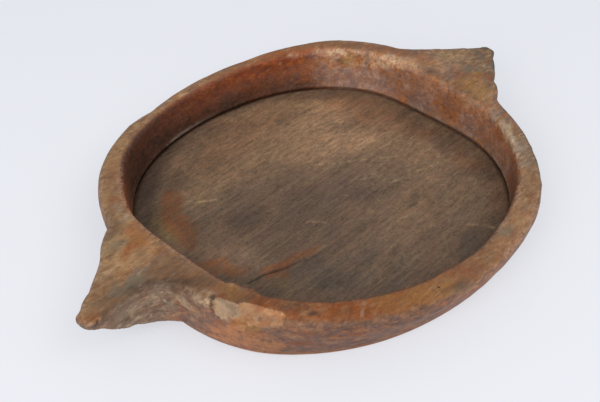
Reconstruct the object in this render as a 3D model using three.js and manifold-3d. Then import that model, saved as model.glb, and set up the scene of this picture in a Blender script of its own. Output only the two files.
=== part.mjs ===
// A shallow wooden bowl carved by hand: a hollow wall with two wing handles cut from one plank,
// and a separate floor board whose bevelled edge is held in a groove round the foot of the wall.
// Millimetres, +Z up. +X runs along the handles, to the whole one. The origin is on the table, in the
// middle of the overall length and width.

import * as THREE from "three";
import { mergeVertices } from "three/addons/utils/BufferGeometryUtils.js";
import Module from "manifold-3d";

// Wall: heights
const RIM_HEIGHT = 54.5; // mean height of the rim over the table
const SHEER = 6.5; // the rim rises this much near the handles and dips as much at the sides
const SHEER_TURN = 13; // degrees from the handles to the highest stretches of the rim

// Wall: radii, each of them a mean over the whole turn
const RIM_RADIUS = 207; // outside of the rim
const RIM_WIDTH = 21.5; // width of the rim's top
const FOOT_TAPER = 13.5; // the outside is this much smaller at the foot
const HOLLOW_TAPER = 4.5; // the hollow is this much smaller at the floor

// Wall: how far its outlines are from round
const RIM_OVAL = 5.5; // longer along the handles, shorter across them
const HOLLOW_OVAL = 6;
const FOOT_OVAL = 7;
const RIM_SQUARENESS = 2.5; // fuller between the handles and the sides
const FOOT_SQUARENESS = 0.5;
const RIM_SKEW = 1; // the full corners lean round by this much
const FOOT_SKEW = 2.5;
const RIM_LOBES = 2; // one side is flatter outside than the other
const FOOT_LOBES = -1.5;
const BROAD_SIDE = -135; // degrees to the stretch where the rim's top is broadest
const BROAD_EXTRA = 5.5; // it is this much wider there, towards the hollow

// Wall: edges
const RIM_OUTER_ROUND = 6;
const RIM_INNER_ROUND = 3.5;
const FOOT_ROUND = 6;

// Straight inner faces behind the handles, as distances from the axis of the hollow
const FAR_FLAT = 178;
const NEAR_FLAT = 181;
const FLAT_SHARPNESS = 40; // the higher, the sharper the corner between a flat and the round wall

// Groove for the floor board, and the sloping ledge over it
const LIP_HEIGHT = 3; // solid lip under the groove
const LOWER_FLANK = 3.5; // rise of the groove's lower slope
const GROOVE_DEPTH = 4.5;
const GROOVE_BACK = 3.5; // height of the groove's upright back
const UPPER_FLANK = 4; // rise of the groove's upper slope
const LEDGE_WIDTH = 2.5;
const LEDGE_RISE = 5;

// Floor board
const BOARD_SEAT_GAP = 0.3; // over the groove's lower slope
const BOARD_EDGE_GAP = 0.8; // to the groove's back
const BOARD_EDGE = 2.8; // upright part of the board's edge
const BOARD_TOP_BEVEL = 5.5; // width of the bevel round the top face
const BOARD_TOP_DROP = 3; // drop of that bevel

// Handles. Each outline is drawn along its own +X, and the near one is then turned half round.
const HANDLE_DROP = 4.5; // the top face falls this much from the rim out to the tip
const HANDLE_FOOT = 12; // height where the underside leaves the wall
const TIP_THICKNESS = 6.5;
const TIP_SHOULDER = 8; // length of the rounding at each corner of a tip
const FAR_REACH = 72.5; // from the rim to the tip
const FAR_LEFT = 92; // half width at the wall
const FAR_RIGHT = 86;
const FAR_LEFT_SAG = 2; // hollowing of the flank
const FAR_RIGHT_SAG = 5;
const FAR_TIP_LEFT = 9; // half width of the tip
const FAR_TIP_RIGHT = 9;
const NEAR_REACH = 74;
const NEAR_LEFT = 62;
const NEAR_RIGHT = 89;
const NEAR_TIP_LEFT = 14;
const NEAR_TIP_RIGHT = 1;
const SPLIT_START = 19.5; // a piece has split off the near handle: the bare face starts this far from the rim
const SPLIT_SIDE = 17; // distance of that face from the middle line

// Mesh fineness, and how far a cutter runs past what it cuts
const TURN_STEPS = 120;
const ROUND_STEPS = 4;
const WALL_STEPS = 4;
const FLANK_STEPS = 6;
const SPARE = 20;

// Heights that follow from the groove
const GROOVE_LOW = LIP_HEIGHT + LOWER_FLANK;
const GROOVE_HIGH = GROOVE_LOW + GROOVE_BACK;
const GROOVE_TOP = GROOVE_HIGH + UPPER_FLANK;
const LEDGE_TOP = GROOVE_TOP + LEDGE_RISE;

const wasm = await Module();
wasm.setup();

const mix = (a, b, t) => a + (b - a) * t;
const share = (value, from, to) => THREE.MathUtils.clamp((value - from) / (to - from), 0, 1);

// Meshes to solids and back

function solidOf(geometry) {
  geometry.deleteAttribute("normal");
  geometry.deleteAttribute("uv");
  const merged = mergeVertices(geometry, 1e-3);
  const triVerts = new Uint32Array(merged.index.array);
  return new wasm.Manifold(
    new wasm.Mesh({ numProp: 3, vertProperties: merged.attributes.position.array, triVerts }),
  );
}

function geometryOf(solid) {
  const mesh = solid.getMesh();
  const geometry = new THREE.BufferGeometry();
  geometry.setAttribute("position", new THREE.BufferAttribute(mesh.vertProperties, 3));
  geometry.setIndex(new THREE.BufferAttribute(mesh.triVerts, 1));
  geometry.computeVertexNormals();
  return geometry;
}

// Outlines in plan: each gives a radius for an angle round the axis

function outline(radius, oval, squareness, skew, lobes) {
  return (angle) =>
    radius +
    oval * Math.cos(2 * angle) -
    squareness * Math.cos(4 * angle) +
    skew * Math.sin(4 * angle) +
    lobes * Math.sin(3 * angle);
}

const rimOutside = outline(RIM_RADIUS, RIM_OVAL, RIM_SQUARENESS, RIM_SKEW, RIM_LOBES);
const footOutside = outline(
  RIM_RADIUS - FOOT_TAPER,
  FOOT_OVAL,
  FOOT_SQUARENESS,
  FOOT_SKEW,
  FOOT_LOBES,
);
const hollowRound = outline(RIM_RADIUS - RIM_WIDTH, HOLLOW_OVAL, RIM_SQUARENESS, RIM_SKEW, 0);

// A round outline that is cut short by a straight line across +X and one across -X.
function withFlats(radius, angle, far, near) {
  const flat = Math.cos(angle) > 0 ? far : near;
  const nearness = Math.abs(Math.cos(angle)) / flat;
  const sum = Math.pow(radius, -FLAT_SHARPNESS) + Math.pow(nearness, FLAT_SHARPNESS);
  return Math.pow(sum, -1 / FLAT_SHARPNESS);
}

function hollowAtRim(angle) {
  const nearness = Math.max(0, Math.cos(angle - THREE.MathUtils.degToRad(BROAD_SIDE)));
  const radius = withFlats(hollowRound(angle), angle, FAR_FLAT, NEAR_FLAT);
  return radius - BROAD_EXTRA * Math.pow(nearness, 3);
}

function hollowAtFloor(angle) {
  const radius = hollowRound(angle) - HOLLOW_TAPER;
  return withFlats(radius, angle, FAR_FLAT - LEDGE_WIDTH, NEAR_FLAT - LEDGE_WIDTH);
}

function sheer(angle) {
  return SHEER * Math.cos(2 * (angle - THREE.MathUtils.degToRad(SHEER_TURN)));
}

// Radius of the wall's outside: it swells quickly over the foot and stands nearly upright at the rim.
function outside(angle, z) {
  const rise = share(z, FOOT_ROUND, RIM_HEIGHT - RIM_OUTER_ROUND);
  return mix(footOutside(angle), rimOutside(angle), Math.sin((rise * Math.PI) / 2));
}

// Radius of the wall's inside: upright at the floor, then the ledge, then a slant out to the rim.
function inside(angle, z) {
  const foot = hollowAtFloor(angle);
  const overLedge = foot + LEDGE_WIDTH * share(z, GROOVE_TOP, LEDGE_TOP);
  return mix(overLedge, hollowAtRim(angle), share(z, LEDGE_TOP, RIM_HEIGHT - RIM_INNER_ROUND));
}

// Turned bodies

// Points of a section along a quarter round, without its first point. Each is an inset and a height.
function quarter(inset, z, radius, from, to) {
  const points = [];
  for (let i = 1; i <= ROUND_STEPS; i += 1) {
    const angle = THREE.MathUtils.degToRad(mix(from, to, i / ROUND_STEPS));
    points.push([inset - radius * Math.cos(angle), z + radius * Math.sin(angle)]);
  }
  return points;
}

// A section that runs upwards, as insets from an outline and heights, turned round the axis and drawn
// out to that outline. Over the groove its heights follow the sheer of the rim.
function turned(section, radiusAt) {
  const points = section.map(([inset, z]) => new THREE.Vector2(RIM_RADIUS - inset, z));
  points.unshift(new THREE.Vector2(0, section[0][1]));
  points.push(new THREE.Vector2(0, section[section.length - 1][1]));
  const geometry = new THREE.LatheGeometry(points, TURN_STEPS);
  geometry.rotateX(Math.PI / 2);
  const position = geometry.attributes.position;
  const at = new THREE.Vector3();
  for (let i = 0; i < position.count; i += 1) {
    at.fromBufferAttribute(position, i);
    const angle = Math.atan2(at.y, at.x);
    const turnedRadius = Math.hypot(at.x, at.y);
    const lift = sheer(angle) * Math.max(0, (at.z - GROOVE_TOP) / (RIM_HEIGHT - GROOVE_TOP));
    if (turnedRadius > 1) {
      const radius = radiusAt(angle, at.z) + turnedRadius - RIM_RADIUS;
      at.set(radius * Math.cos(angle), radius * Math.sin(angle), at.z + lift);
    }
    position.setXYZ(i, at.x, at.y, at.z);
  }
  return solidOf(geometry);
}

function wallBlank() {
  const straightTop = RIM_HEIGHT - RIM_OUTER_ROUND;
  const section = [[FOOT_ROUND, 0], ...quarter(FOOT_ROUND, FOOT_ROUND, FOOT_ROUND, -90, 0)];
  for (let i = 1; i <= WALL_STEPS; i += 1) {
    section.push([0, mix(FOOT_ROUND, straightTop, i / WALL_STEPS)]);
  }
  section.push(...quarter(RIM_OUTER_ROUND, straightTop, RIM_OUTER_ROUND, 0, 90));
  return turned(section, outside);
}

// What is cut out of the blank: the hollow, with the groove for the floor board at its foot.
function hollowCutter() {
  const straightTop = RIM_HEIGHT - RIM_INNER_ROUND;
  const section = [
    [0, -SPARE],
    [0, LIP_HEIGHT],
    [-GROOVE_DEPTH, GROOVE_LOW],
    [-GROOVE_DEPTH, GROOVE_HIGH],
    [0, GROOVE_TOP],
    [0, LEDGE_TOP],
  ];
  for (let i = 1; i <= WALL_STEPS; i += 1) {
    section.push([0, mix(LEDGE_TOP, straightTop, i / WALL_STEPS)]);
  }
  section.push(...quarter(-RIM_INNER_ROUND, straightTop, RIM_INNER_ROUND, 180, 90));
  section.push([-RIM_INNER_ROUND, RIM_HEIGHT + SPARE]);
  return turned(section, inside);
}

function floorBoard() {
  const edge = GROOVE_DEPTH - BOARD_EDGE_GAP;
  const bottom = LIP_HEIGHT + BOARD_SEAT_GAP;
  const edgeLow = bottom + (edge * LOWER_FLANK) / GROOVE_DEPTH;
  const edgeHigh = edgeLow + BOARD_EDGE;
  return turned(
    [
      [0, bottom],
      [-edge, edgeLow],
      [-edge, edgeHigh],
      [BOARD_TOP_BEVEL - edge, edgeHigh + BOARD_TOP_DROP],
    ],
    (angle) => hollowAtFloor(angle),
  );
}

// Handles

// Where a flank of the given half width meets the middle of the wall's thickness.
function wallPoint(side) {
  const radius = RIM_RADIUS - RIM_WIDTH / 2;
  return new THREE.Vector2(Math.sqrt(radius * radius - side * side), side);
}

// A hollowed flank from the shape's last point, which sags towards the middle line.
function flankTo(shape, from, to, sag) {
  const middle = from.clone().lerp(to, 0.5);
  const across = new THREE.Vector2(to.y - from.y, from.x - to.x).normalize();
  if (across.y * middle.y > 0) across.negate();
  middle.addScaledVector(across, 2 * sag);
  shape.quadraticCurveTo(middle.x, middle.y, to.x, to.y);
}

// The rounded end, from its right corner to its left one.
function tipTo(shape, reach, right, left) {
  const middle = (left - right) / 2;
  shape.quadraticCurveTo(reach, -right, reach, middle);
  shape.quadraticCurveTo(reach, left, reach - TIP_SHOULDER, left);
}

function farOutline() {
  const reach = RIM_RADIUS + FAR_REACH;
  const right = wallPoint(-FAR_RIGHT);
  const left = wallPoint(FAR_LEFT);
  const tipRight = new THREE.Vector2(reach - TIP_SHOULDER, -FAR_TIP_RIGHT);
  const tipLeft = new THREE.Vector2(reach - TIP_SHOULDER, FAR_TIP_LEFT);
  const shape = new THREE.Shape();
  shape.moveTo(right.x, right.y);
  flankTo(shape, right, tipRight, FAR_RIGHT_SAG);
  tipTo(shape, reach, FAR_TIP_RIGHT, FAR_TIP_LEFT);
  flankTo(shape, tipLeft, left, FAR_LEFT_SAG);
  shape.closePath();
  return shape;
}

function nearOutline() {
  const reach = RIM_RADIUS + NEAR_REACH;
  const right = wallPoint(-NEAR_RIGHT);
  const left = wallPoint(NEAR_LEFT);
  const tipRight = new THREE.Vector2(reach - TIP_SHOULDER, -NEAR_TIP_RIGHT);
  const shape = new THREE.Shape();
  shape.moveTo(right.x, right.y);
  shape.lineTo(tipRight.x, tipRight.y);
  tipTo(shape, reach, NEAR_TIP_RIGHT, NEAR_TIP_LEFT);
  shape.lineTo(RIM_RADIUS + SPLIT_START, SPLIT_SIDE);
  shape.quadraticCurveTo(RIM_RADIUS, SPLIT_SIDE, left.x, left.y);
  shape.closePath();
  return shape;
}

// The plate that both handles are cut from. It thins outwards, and its top follows the sheer of the rim.
function handlePlate() {
  const reach = Math.max(FAR_REACH, NEAR_REACH);
  const tipTop = RIM_HEIGHT - HANDLE_DROP;
  return turned(
    [
      [0, HANDLE_FOOT],
      [-reach, tipTop - TIP_THICKNESS],
      [-reach, tipTop],
      [0, RIM_HEIGHT],
    ],
    () => RIM_RADIUS,
  );
}

function handleSolid(plan, turn) {
  const column = new THREE.ExtrudeGeometry(plan, {
    depth: RIM_HEIGHT + SHEER + SPARE,
    curveSegments: FLANK_STEPS,
    bevelEnabled: false,
  });
  column.rotateZ(turn);
  return solidOf(column).intersect(handlePlate());
}

function wallWithHandles() {
  const far = handleSolid(farOutline(), 0);
  const near = handleSolid(nearOutline(), Math.PI);
  return wallBlank().add(far).add(near).subtract(hollowCutter());
}

// Assembly

function piece(name, solid, color, roughness) {
  const material = new THREE.MeshStandardMaterial({ color, roughness, metalness: 0 });
  const mesh = new THREE.Mesh(geometryOf(solid), material);
  mesh.name = name;
  return mesh;
}

const bowl = new THREE.Group();
bowl.add(piece("bowl_wall", wallWithHandles(), 0x8c5a38, 0.55));
bowl.add(piece("floor_board", floorBoard(), 0x75583f, 0.65));

const size = new THREE.Box3().setFromObject(bowl);
const middle = size.getCenter(new THREE.Vector3());
bowl.position.set(-middle.x, -middle.y, 0);

const root = new THREE.Group();
root.add(bowl);

export default root;
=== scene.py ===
import math

import bmesh
import bpy
import numpy as np
from mathutils import Euler, Matrix, Vector


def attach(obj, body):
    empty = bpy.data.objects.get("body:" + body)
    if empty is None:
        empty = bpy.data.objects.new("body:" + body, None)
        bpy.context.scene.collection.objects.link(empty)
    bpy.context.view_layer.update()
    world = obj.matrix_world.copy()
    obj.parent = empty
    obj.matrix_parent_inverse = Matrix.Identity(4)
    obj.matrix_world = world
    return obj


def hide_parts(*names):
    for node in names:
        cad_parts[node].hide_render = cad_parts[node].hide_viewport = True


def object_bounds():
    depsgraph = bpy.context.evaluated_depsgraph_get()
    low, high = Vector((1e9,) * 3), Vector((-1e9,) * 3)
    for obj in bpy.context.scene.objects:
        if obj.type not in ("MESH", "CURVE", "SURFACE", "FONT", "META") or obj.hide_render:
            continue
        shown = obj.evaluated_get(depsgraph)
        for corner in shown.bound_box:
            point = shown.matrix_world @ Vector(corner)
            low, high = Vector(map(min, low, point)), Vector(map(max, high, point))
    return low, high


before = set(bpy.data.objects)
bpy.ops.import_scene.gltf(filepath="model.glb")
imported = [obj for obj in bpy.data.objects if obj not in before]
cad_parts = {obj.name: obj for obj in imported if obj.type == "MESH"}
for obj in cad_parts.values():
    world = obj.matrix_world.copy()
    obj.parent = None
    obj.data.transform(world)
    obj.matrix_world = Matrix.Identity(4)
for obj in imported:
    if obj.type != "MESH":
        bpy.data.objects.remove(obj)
cad_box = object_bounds()

MM = 0.001
AXIS = (0.75, 3.0)  # middle of the hollow, in mm
CENTRE = np.array([*AXIS, 0.0]) * MM

# The rim's mean height, how far it rises near the handles and dips at the sides, and where it is highest
RIM_HEIGHT = 54.5 * MM
SHEER = 6.5 * MM
SHEER_TURN = 13.0

# Radius of the rim's inner edge, radius past which there are only handles, and where the far handle begins
INNER_CORNER = 187 * MM
RING_END = 215 * MM
FAR_HANDLE = 180 * MM

# Spacing of the even meshes that are carved
WALL_GRID = 1.68 * MM
BOARD_GRID = 1.7 * MM

# Brightness of both woods, and how much one unit of their mark of painted light, shade and tone adds to it
PLAIN_SHADE = 0.98
LIGHTER_SHADE = 0.26


# Shapes


def points_of(mesh):
    flat = np.empty(len(mesh.vertices) * 3)
    mesh.vertices.foreach_get("co", flat)
    return flat.reshape(-1, 3)


def set_points(mesh, points):
    """Puts the vertices at these points, none of them outside the CAD model's box."""
    mesh.vertices.foreach_set("co", np.clip(points, cad_box[0], cad_box[1]).ravel())
    mesh.update()


def normals_of(mesh):
    flat = np.empty(len(mesh.vertices) * 3, np.float32)
    mesh.vertex_normals.foreach_get("vector", flat)
    return flat.reshape(-1, 3).astype(float)


def edges_of(mesh):
    flat = np.empty(len(mesh.edges) * 2, np.int32)
    mesh.edges.foreach_get("vertices", flat)
    return flat.reshape(-1, 2)


def show(mesh, name):
    made = bpy.data.objects.new(name, mesh)
    bpy.context.scene.collection.objects.link(made)
    return made


def evenly_meshed(node, name, grid):
    """A copy of a CAD node whose surface is a fine, even mesh that can be carved."""
    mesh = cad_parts[node].data.copy()
    shell = bmesh.new()
    shell.from_mesh(mesh)
    bmesh.ops.remove_doubles(shell, verts=shell.verts, dist=1e-6)
    shell.to_mesh(mesh)
    shell.free()
    blank = show(mesh, name + "_blank")
    remesh = blank.modifiers.new("remesh", "REMESH")
    remesh.mode = "VOXEL"
    remesh.voxel_size = grid
    remesh.use_smooth_shade = True
    graph = bpy.context.evaluated_depsgraph_get()
    made = bpy.data.meshes.new_from_object(blank.evaluated_get(graph))
    made.materials.clear()
    bpy.data.objects.remove(blank)
    return show(made, name)


def relaxed(values, edges, rounds, weight=None):
    """Values at the vertices, drawn towards their neighbours' mean."""
    a, b = edges[:, 0], edges[:, 1]
    size = len(values)
    count = np.bincount(a, minlength=size) + np.bincount(b, minlength=size)
    for _ in range(rounds):
        mean = np.empty_like(values)
        for k in range(values.shape[1]):
            column = values[:, k]
            mean[:, k] = np.bincount(a, column[b], size) + np.bincount(b, column[a], size)
        step = 0.5 * (mean / count[:, None] - values)
        values = values + (step if weight is None else step * weight[:, None])
    return values


def rough(points, size, seed, octaves=3):
    """Smooth random values from about -1 to 1 in lumps of this size, in mm along X, Y and Z."""
    lattice = np.random.default_rng(seed).uniform(-1, 1, (32, 32, 32))
    total = np.zeros(len(points))
    for octave in range(octaves):
        at = points / (np.asarray(size) * MM / 2**octave) + 3.7 * octave
        cell = np.floor(at).astype(int)
        part = at - cell
        part = part * part * (3 - 2 * part)
        value = np.zeros(len(points))
        for corner in np.ndindex(2, 2, 2):
            index = (cell + corner) % 32
            share = np.prod(np.where(corner, part, 1 - part), axis=1)
            value += share * lattice[index[:, 0], index[:, 1], index[:, 2]]
        total += value / 2**octave
    return total


def smooth(value, low, high):
    part = np.clip((value - low) / (high - low), 0, 1)
    return part * part * (3 - 2 * part)


def most(*values):
    """The highest of several values, at each point."""
    return np.maximum.reduce(values)


def turn_of(points):
    """Direction round the axis in degrees, and distance from it, of each point."""
    flat = points - CENTRE
    return np.degrees(np.arctan2(flat[:, 1], flat[:, 0])), np.hypot(flat[:, 0], flat[:, 1])


def around(turn, stops):
    """A value that changes round the ring, from its values at some directions in degrees."""
    return np.interp(turn, list(stops), list(stops.values()), period=360)


def rim_height(turn):
    return RIM_HEIGHT + SHEER * np.cos(np.radians(2 * (turn - SHEER_TURN)))


def spot(points, at, size, along=None):
    """1 at a place and 0 outside an ellipsoid round it, in mm, long along the ring or a direction."""
    offset = points - np.asarray(at) * MM
    if along is None:
        along = math.degrees(math.atan2(at[1] - AXIS[1], at[0] - AXIS[0])) + 90
    c, s = math.cos(math.radians(along)), math.sin(math.radians(along))
    part = [offset[:, 0] * c + offset[:, 1] * s, offset[:, 1] * c - offset[:, 0] * s, offset[:, 2]]
    away = np.sqrt(sum((p / (length * MM)) ** 2 for p, length in zip(part, size)))
    return smooth(1 - away, 0, 0.7)


def strayed(points, seed, far):
    """The points shifted at random by up to about this many mm, which makes marks ragged."""
    ways = [rough(points, (4 * far, 3 * far, 3 * far), seed + k, 3) for k in range(3)]
    return points + far * MM * np.stack(ways, 1)


def soft_marks(points, marks):
    """Soft marks: each a place, its size in mm, a direction or None for along the ring, and a strength."""
    left = np.ones(len(points))
    for at, size, along, strength in marks:
        left *= 1 - strength * spot(points, at, [2.0 * length for length in size], along) ** 1.5
    return 1 - left


def seam(points, path, width, wander=0.0, seed=0):
    """1 on a line through some places, in mm, and 0 further from it than its width."""
    value = np.zeros(len(points))
    shifted = points + wander * MM * np.stack([rough(points, (9, 9, 9), seed + k, 2) for k in range(3)], 1)
    for start, end in zip(path, path[1:]):
        start, end = np.asarray(start) * MM, np.asarray(end) * MM
        way = end - start
        along = np.clip(((shifted - start) @ way) / (way @ way), 0, 1)
        away = np.linalg.norm(shifted - start - along[:, None] * way, axis=1)
        value = np.maximum(value, 1 - smooth(away, 0.15 * width * MM, width * MM))
    return value


def seams(points, paths, width, wander, seed):
    """1 on any of several lines."""
    return most(*(seam(points, path, width, wander, seed) for path in paths))


def pare(points, at, facing, size, along=None):
    """Cuts the points near a place back to a plane through it, as a broken-off chip leaves the wood."""
    normal = np.asarray(facing, float)
    normal /= np.linalg.norm(normal)
    height = np.clip((points - np.asarray(at) * MM) @ normal, 0, None)
    cut = height * smooth(spot(strayed(points, 61, 2.5), at, size, along), 0.0, 0.22)
    points -= cut[:, None] * normal
    return cut / MM


def nudged(points, marks):
    """The points drawn aside near some places: each a place, its size, a direction and a shift."""
    moved = points.copy()
    for at, size, along, shift in marks:
        moved += spot(points, at, size, along)[:, None] * np.asarray(shift) * MM
    return moved


def added(values, points, marks):
    """The values changed near some places: each a place, its size, a direction and an amount."""
    for at, size, along, amount in marks:
        values = values + amount * spot(points, at, size, along)
    return values


def scoop(points, marks):
    """Depth in mm of shallow gouge marks: each a place, its size, a direction and a depth."""
    depth = np.zeros(len(points))
    for at, size, along, deep in marks:
        depth = np.maximum(depth, deep * np.sqrt(spot(points, at, size, along)))
    return depth


def paint(piece, name, values):
    layer = piece.data.attributes.new(name, "FLOAT", "POINT")
    layer.data.foreach_set("value", np.ascontiguousarray(values, np.float32))


def split_near(piece, places, reach, cuts):
    """Gives the mesh smaller faces within reach of some places, for fine cuts."""
    shell = bmesh.new()
    shell.from_mesh(piece.data)
    points = points_of(piece.data)
    near = np.zeros(len(points), bool)
    for place in places:
        near |= np.linalg.norm(points - np.asarray(place) * MM, axis=1) < reach * MM
    shell.verts.ensure_lookup_table()
    edges = [e for e in shell.edges if near[e.verts[0].index] and near[e.verts[1].index]]
    bmesh.ops.subdivide_edges(shell, edges=edges, cuts=cuts, use_grid_fill=True)
    bmesh.ops.triangulate(shell, faces=[f for f in shell.faces if len(f.verts) > 4])
    shell.to_mesh(piece.data)
    shell.free()


def places_along(path, step):
    """Places every few mm along a path."""
    places = []
    for start, end in zip(path, path[1:]):
        start, end = np.asarray(start, float), np.asarray(end, float)
        count = max(1, int(np.linalg.norm(end - start) / step))
        places += [tuple(start + (end - start) * k / count) for k in range(count + 1)]
    return places


# Places where the carving swells a little past the plain solid, or stays within it
NUDGES = (
    ((-240, 14, 52), (60, 24, 34), 12, (-1.0, 1.6, 0)),
    ((-276, 8, 52), (26, 22, 26), 0, (-1.0, 2.6, 1.0)),
    ((-274, -8, 42), (20, 18, 16), 0, (0, 0.8, 1.6)),
    ((-252, -16, 34), (20, 14, 14), 0, (0, -1.4, -1.8)),
    ((-215, 60, 54), (26, 24, 34), 20, (-1.5, 2.2, 0)),
    ((-172, -71, 58), (20, 12, 16), None, (3.8, 1.6, 0)),
    ((-220, -20, 26), (34, 20, 16), 0, (0, -2.0, -2.5)),
    ((248, -26, 52), (50, 26, 30), -25, (1.0, -3.2, 0)),
    ((222, -60, 50), (34, 24, 34), -45, (3.4, -2.4, 0)),
)

# Values that change round the ring, by direction in degrees. First its shape: how far the outer edge is
# raised, in shares of RAISE, and how far in mm the outer side is pushed out, its foot pulled in and the
# rim's inner edge set back
RAISE = 2.4 * MM
RAISED = {12: 0, 22: 0.7, 30: 1.4, 38: 1.4, 50: 1.0, 64: 0.8, 78: 0.2, 88: -0.6, 98: -1.0}
RAISED |= {108: -0.3, 116: 0.4, 124: 0}
PUSHED = {-125: 0, -100: -1.4, -84: -2.6, -70: -2.0, -62: -0.4, -54: 1.2, -46: 0.4, -38: -0.2, -28: 0}
PUSHED |= {76: 0, 90: -1.2, 100: -1.2, 108: 0.8, 116: 2.8, 126: 2.2, 134: 1.4, 144: 0.4, 152: 0}
FOOT_PULLED = {-152: 0, -140: 1.6, -130: 2.4, -116: 2.8, -104: 2.2, -92: 1.0, -80: 0}
INNER_EDGE_BACK = {-88: 0, -76: -2.0, -60: -2.4, -45: -1.2, -34: 0, 36: 0, 48: 2.5, 56: 5.0}
INNER_EDGE_BACK |= {72: 6.4, 92: 6.4, 104: 6.4, 118: 4.4, 132: 2.4, 144: 0}

# How much the inner edge is rounded, the back's outer edge worn smooth, the inner wall gouged and the
# worn edges frayed
ROUNDED = {-160: 0.06, 32: 0.06, 46: 0.4, 136: 0.4, 148: 0.06}
BACK_EDGE = {-160: 0, 40: 0, 55: 1, 150: 1, 165: 0}
GOUGED = {-70: 0.1, -40: 0.4, -10: 0.5, 10: 0.8, 45: 1.0, 60: 0.3, 90: 0.1}
FRAYED = {-160: 1, -148: 0.3, -100: 0.3, -85: 1, 32: 1, 46: 0.1, 128: 0.1, 142: 1}

# How strong the tones, and the painted light and shade, are
RIM_ORANGE = {-180: 0.3, -168: 0.4, -152: 0.8, -140: 1, -120: 0.9, -100: 0.6, -75: 0.4, -55: 0.25}
RIM_ORANGE |= {-35: 0.05, 0: 0.2, 25: 0.45, 45: 0.6, 70: 0.5, 100: 0.2, 130: 0.3, 160: 0.35}
RIM_RED = {36: 0, 46: 0.9, 108: 0.9, 128: 0, 180: 0}
INNER_RED = {-60: 0.4, -30: 0.25, 0: 0.2, 15: 0.1, 30: 0.03, 40: 0.12, 48: 0.7, 56: 1, 100: 1}
INNER_RED |= {140: 0.8, 180: 0.6}
INNER_MAUVE = {-60: 0.4, 0: 0.8, 45: 0.8, 58: 0.1, 180: 0.1}
INNER_DARK = {-70: 0.6, -50: 0.3, -35: 0.05, 45: 0, 60: 0.15, 85: 0.4, 100: 0.7, 116: 0.92}
INNER_DARK |= {136: 0.85, 148: 0.4, 160: 0.2, 190: 0.3, 230: 0.5}
LOW_DARK = {-60: 0.5, -35: 0.3, -20: 0.15, 10: 0.15, 30: 0.1, 44: 0.2, 56: 0.6, 80: 0.7}
LOW_DARK |= {100: 0.3, 170: 0.1}
FOOT_DARK = {0: 0, 40: 0.3, 50: 0.9, 90: 0.8, 110: 0.2, 120: 0}
LEDGE_GREY = {-60: 0, -40: 0.5, 5: 0.4, 25: 0, 180: 0}
LIP_PALE = {-60: 0.1, -20: 0.2, 20: 0.15, 50: 0, 84: 0, 98: 0.7, 120: 1, 175: 1, 190: 0.4, 230: 0.1}
# Painted light on the inner wall at the right, which the lamps light less than the rest
INNER_PAINTED_LIGHT = {-60: 0, -44: 0.6, -25: 0.9, 0: 0.8, 12: 0.9, 25: 1.4, 38: 1.2, 46: 0.3, 52: 0, 180: 0}
# Painted light on the left inner wall, against the shade that falls on it
LEFT_PAINTED_LIGHT = {130: 0, 148: 1, 175: 1, 195: 0}
OUTER_DARKER = {-172: 0, -160: 0, -148: 0.9, -136: 1.2, -118: 1.0, -106: 0.1, -96: -0.4, -84: -0.3}
OUTER_DARKER |= {-60: 0, 180: 0}
# Painted shade along the top of the outer wall, at its rounded outer edge
UPPER_PAINTED_SHADE = {-58: 0, -44: 1, 100: 1, 122: 0, 180: 0}
BASE_LIGHTER = {-170: 0, -150: 1, -110: 1, -90: 0, 180: 0}
BASE_AMBER = {-176: 0, -160: 0.6, -148: 1, -110: 1, -90: 0.3, -60: 0, 180: 0}

# Lines and holes where the photograph shows them, through places on the bowl in mm
INSECT_HOLES = ((-53, -178, 51), (-21, -196, 43), (11, -195, 42.5))
CREVICE = ((-192, -59.5, 61.5), (-195.5, -62, 59.5), (-198, -64.5, 55), (-199.5, -66, 50))
TIP_SPLIT = ((-264, -9, 60), (-269, -11, 57), (-272, -12.5, 52))
CREASE = (
    (-262, -12, 56),
    (-240, -13.5, 57),
    (-228, -14, 58),
    (-216, -19, 60),
    (-206, -26, 61),
    (-196, -31, 61),
)
HANDLE_CRACKS = (
    ((181, -11, 60), (179, -15, 52), (178, -17, 44)),
    ((180, -22, 58), (178, -25, 50)),
    ((176, -60, 56), (173, -64, 46)),
    ((172, -72, 54), (170, -76, 42)),
    ((168, -84, 50), (165, -88, 38)),
)
RIM_SCRATCHES = (((-110, -147, 56), (-116, -151, 56), (-124, -156, 55)),)
FAR_BORDER = (
    (244, 33, 58),
    (262, 18, 57),
    (277, 4, 55.5),
    (277, -4, 55),
    (266, -12, 55),
    (248, -26, 55),
    (231, -41, 54),
    (221, -52, 53),
)
HANDLE_LINE = ((-206, 27, 60), (-199, 22, 60), (-190, 22, 60), (-181, 20, 60))

# Gouges, stains, tones and painted light: each a place and a size in mm, a direction or None for along
# the ring, and a depth in mm or a strength
GOUGES = (
    ((100, 156, 45), (6, 5, 5), None, 1.0),
    ((114, 154, 55), (7, 5, 5), None, 1.2),
    ((118, 148, 54), (6, 5, 5), None, 1.0),
    ((134, 136, 55), (9, 6, 6), None, 1.6),
    ((150, 120, 55), (14, 8, 7), None, 2.0),
    ((157, 109, 51), (9, 8, 10), None, 1.8),
    ((163, 100, 47), (11, 7, 9), None, 1.6),
    ((168, 91, 52), (6, 7, 13), None, 2.2),
    ((174, 84, 56), (5, 7, 8), None, 1.6),
    ((172, 78, 49), (12, 7, 9), None, 1.8),
    ((144, 124, 45), (12, 7, 7), None, 1.4),
    ((152, 114, 39), (12, 7, 8), None, 1.4),
    ((165, 96, 37), (13, 7, 7), None, 1.3),
    ((174, 74, 37), (12, 7, 8), None, 1.4),
    ((177, 56, 47), (14, 7, 9), None, 1.2),
    ((180, 36, 42), (12, 7, 10), None, 1.2),
    ((-204, -34, 34), (9, 7, 6), None, 1.2),
    ((-232, -15, 40), (12, 8, 8), 0, 1.3),
)
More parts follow.
